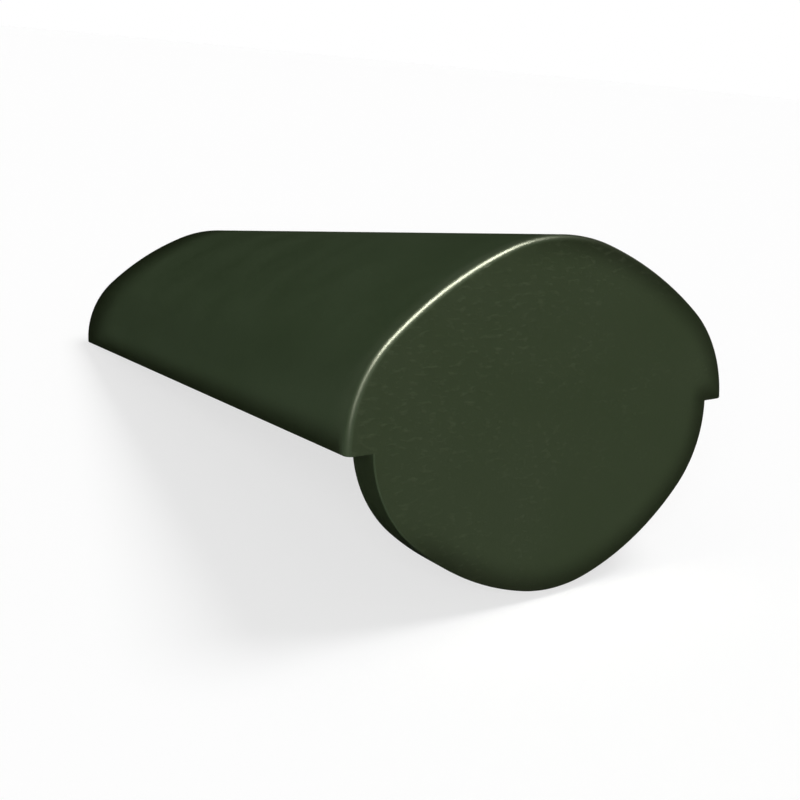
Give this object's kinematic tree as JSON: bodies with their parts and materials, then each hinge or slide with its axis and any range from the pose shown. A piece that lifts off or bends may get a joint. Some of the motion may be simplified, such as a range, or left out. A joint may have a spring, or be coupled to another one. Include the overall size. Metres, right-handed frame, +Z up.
{
  "type": "ridge end tile",
  "caption": "Hog-back ridge tile closed at the front by a flat end plate with a rounded rim and a set-in lobe hanging below the bearing edges.",
  "frame": {"origin": "centre of the bounding box at floor level, with the tile laid unheld on a level floor", "axes": "+Z up, +Y from the closed end plate back to the plain rear end, +X to the right as seen from in front of the end plate"},
  "size_m": [0.23, 0.4742, 0.1719],
  "materials": {
    "coated_concrete": "satin dark green coating"
  },
  "bodies": {
    "root": {"ridge_end_tile": "coated_concrete"}
  },
  "joints": []
}
